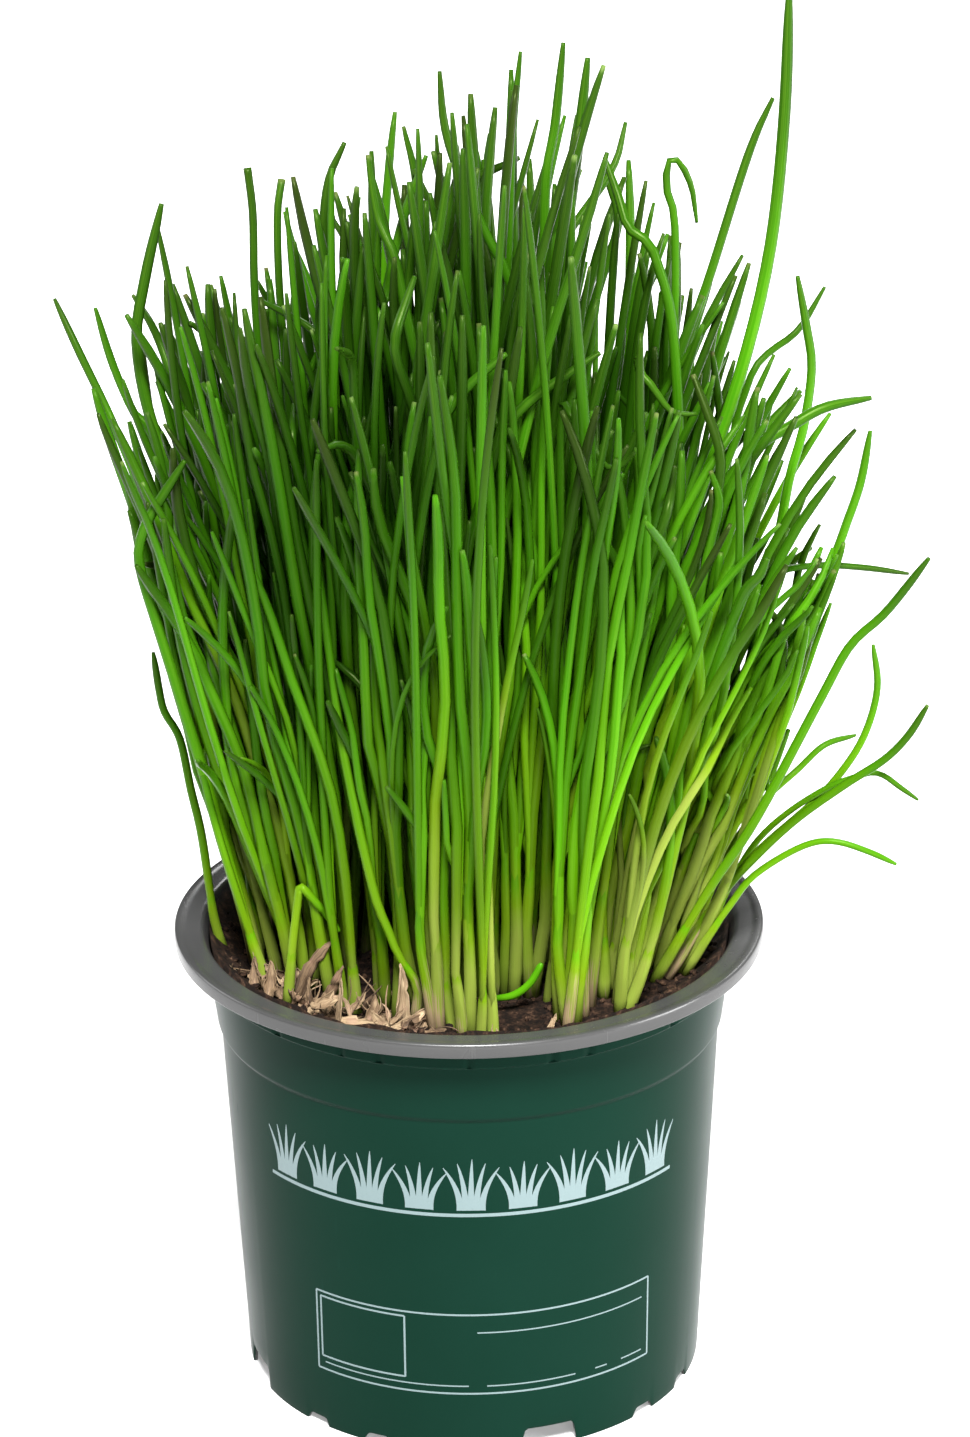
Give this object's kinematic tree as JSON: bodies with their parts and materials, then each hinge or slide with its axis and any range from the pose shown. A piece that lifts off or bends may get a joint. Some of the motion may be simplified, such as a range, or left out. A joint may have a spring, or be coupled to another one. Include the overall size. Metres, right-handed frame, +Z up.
{
  "type": "potted chive plant",
  "caption": "Living chive plant: dense tufts of long tubular leaves growing from soil in a tapered thin-walled plastic herb pot with a flanged rim and a notched foot.",
  "frame": {"origin": "on the surface that the pot stands on, at the bottom centre of the whole plant's box, which is the pot's own axis", "axes": "+Z up along the pot's axis, -Y towards the front of the pot, +X to the right seen from the front"},
  "size_m": [0.1861, 0.1594, 0.3121],
  "materials": {
    "pot_plastic": "dark green printed outside, grey plastic at the rim and inside, satin",
    "soil": "dark, crumbly and matte",
    "chive_leaf": "smooth, waxy and fresh green, paler towards the root",
    "dry_sheath": "dry, papery and matte",
    "loose_leaf": "limp and slightly faded green"
  },
  "bodies": {
    "root": {"dry_sheath_1": "dry_sheath", "dry_sheath_2": "dry_sheath", "dry_sheath_3": "dry_sheath", "dry_sheath_4": "dry_sheath", "dry_sheath_5": "dry_sheath", "loose_leaf": "loose_leaf", "pot": "pot_plastic", "soil": "soil", "tuft_01": "chive_leaf", "tuft_02": "chive_leaf", "tuft_03": "chive_leaf", "tuft_04": "chive_leaf", "tuft_05": "chive_leaf", "tuft_06": "chive_leaf", "tuft_07": "chive_leaf", "tuft_08": "chive_leaf", "tuft_09": "chive_leaf", "tuft_10": "chive_leaf", "tuft_11": "chive_leaf", "tuft_12": "chive_leaf", "tuft_13": "chive_leaf", "tuft_14": "chive_leaf", "tuft_15": "chive_leaf", "tuft_16": "chive_leaf", "tuft_17": "chive_leaf", "tuft_18": "chive_leaf", "tuft_19": "chive_leaf", "tuft_20": "chive_leaf", "tuft_21": "chive_leaf", "tuft_22": "chive_leaf", "tuft_23": "chive_leaf", "tuft_24": "chive_leaf", "tuft_25": "chive_leaf", "tuft_26": "chive_leaf", "tuft_27": "chive_leaf", "tuft_28": "chive_leaf", "tuft_29": "chive_leaf", "tuft_30": "chive_leaf", "tuft_31": "chive_leaf", "tuft_32": "chive_leaf", "tuft_33": "chive_leaf", "tuft_34": "chive_leaf", "tuft_35": "chive_leaf", "tuft_36": "chive_leaf", "tuft_37": "chive_leaf", "tuft_38": "chive_leaf", "tuft_39": "chive_leaf", "tuft_40": "chive_leaf", "tuft_41": "chive_leaf", "tuft_42": "chive_leaf", "tuft_43": "chive_leaf", "tuft_44": "chive_leaf", "tuft_45": "chive_leaf", "tuft_46": "chive_leaf", "tuft_47": "chive_leaf", "tuft_48": "chive_leaf", "tuft_49": "chive_leaf"}
  },
  "joints": []
}
